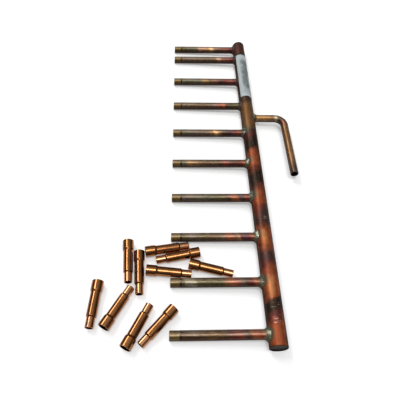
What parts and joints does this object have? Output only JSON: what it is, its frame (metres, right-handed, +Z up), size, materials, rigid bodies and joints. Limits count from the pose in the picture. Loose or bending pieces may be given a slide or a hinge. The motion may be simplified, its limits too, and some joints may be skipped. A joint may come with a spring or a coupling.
{
  "type": "coil header",
  "caption": "Brazed copper header tube with a row of branch tubes, a bent outlet tube and loose belled couplings that join the branches to a coil.",
  "frame": {"origin": "on the table, in the middle of the outline of the whole set of header and loose couplings", "axes": "+Z up from the table, +Y along the header towards its far end, where two branches are close together; the branches point to -X and roll 2.4 degrees down to the table"},
  "size_m": [0.2234, 0.4548, 0.0176],
  "materials": {
    "header_copper": "heat-tinted copper, patches of orange, maroon and olive oxide",
    "branch_copper": "tarnished copper, olive at the tip, orange and purple by the joint",
    "outlet_copper": "tarnished copper, golden by the joint and brown along the run",
    "bright_copper": "clean drawn copper with fine lengthwise lines",
    "braze_alloy": "dull silver-grey braze with green-grey residue",
    "label_paper": "blank matt paper"
  },
  "bodies": {
    "header": {"header_tube": "header_copper", "far_end_cap": "header_copper", "near_end_cap": "header_copper", "far_cap_braze": "braze_alloy", "near_cap_braze": "braze_alloy", "outlet_elbow": "outlet_copper", "outlet_tube": "outlet_copper", "outlet_braze": "braze_alloy", "label": "label_paper", "branch_tube_01": "branch_copper", "branch_tube_02": "branch_copper", "branch_tube_03": "branch_copper", "branch_tube_04": "branch_copper", "branch_tube_05": "branch_copper", "branch_tube_06": "branch_copper", "branch_tube_07": "branch_copper", "branch_tube_08": "branch_copper", "branch_tube_09": "branch_copper", "branch_tube_10": "branch_copper", "branch_braze_01": "braze_alloy", "branch_braze_02": "braze_alloy", "branch_braze_03": "braze_alloy", "branch_braze_04": "braze_alloy", "branch_braze_05": "braze_alloy", "branch_braze_06": "braze_alloy", "branch_braze_07": "braze_alloy", "branch_braze_08": "braze_alloy", "branch_braze_09": "braze_alloy", "branch_braze_10": "braze_alloy"},
    "coupling_01": {"coupling_01": "bright_copper"},
    "coupling_02": {"coupling_02": "bright_copper"},
    "coupling_03": {"coupling_03": "bright_copper"},
    "coupling_04": {"coupling_04": "bright_copper"},
    "coupling_05": {"coupling_05": "bright_copper"},
    "coupling_06": {"coupling_06": "bright_copper"},
    "coupling_07": {"coupling_07": "bright_copper"},
    "coupling_08": {"coupling_08": "bright_copper"},
    "coupling_09": {"coupling_09": "bright_copper"},
    "coupling_10": {"coupling_10": "bright_copper"}
  },
  "joints": [
    {"name": "coupling_01_lift", "type": "slide", "parent": "header", "child": "coupling_01", "axis": [0, 0, 1], "range_m": [0, 0.06]},
    {"name": "coupling_02_lift", "type": "slide", "parent": "header", "child": "coupling_02", "axis": [0, 0, 1], "range_m": [0, 0.06]},
    {"name": "coupling_03_lift", "type": "slide", "parent": "header", "child": "coupling_03", "axis": [0, 0, 1], "range_m": [0, 0.06]},
    {"name": "coupling_04_lift", "type": "slide", "parent": "header", "child": "coupling_04", "axis": [0, 0, 1], "range_m": [0, 0.06]},
    {"name": "coupling_05_lift", "type": "slide", "parent": "header", "child": "coupling_05", "axis": [0, 0, 1], "range_m": [0, 0.06]},
    {"name": "coupling_06_lift", "type": "slide", "parent": "header", "child": "coupling_06", "axis": [0, 0, 1], "range_m": [0, 0.06]},
    {"name": "coupling_07_lift", "type": "slide", "parent": "header", "child": "coupling_07", "axis": [0, 0, 1], "range_m": [0, 0.06]},
    {"name": "coupling_08_lift", "type": "slide", "parent": "header", "child": "coupling_08", "axis": [0, 0, 1], "range_m": [0, 0.06]},
    {"name": "coupling_09_lift", "type": "slide", "parent": "header", "child": "coupling_09", "axis": [0, 0, 1], "range_m": [0, 0.06]},
    {"name": "coupling_10_lift", "type": "slide", "parent": "header", "child": "coupling_10", "axis": [0, 0, 1], "range_m": [0, 0.06]}
  ]
}
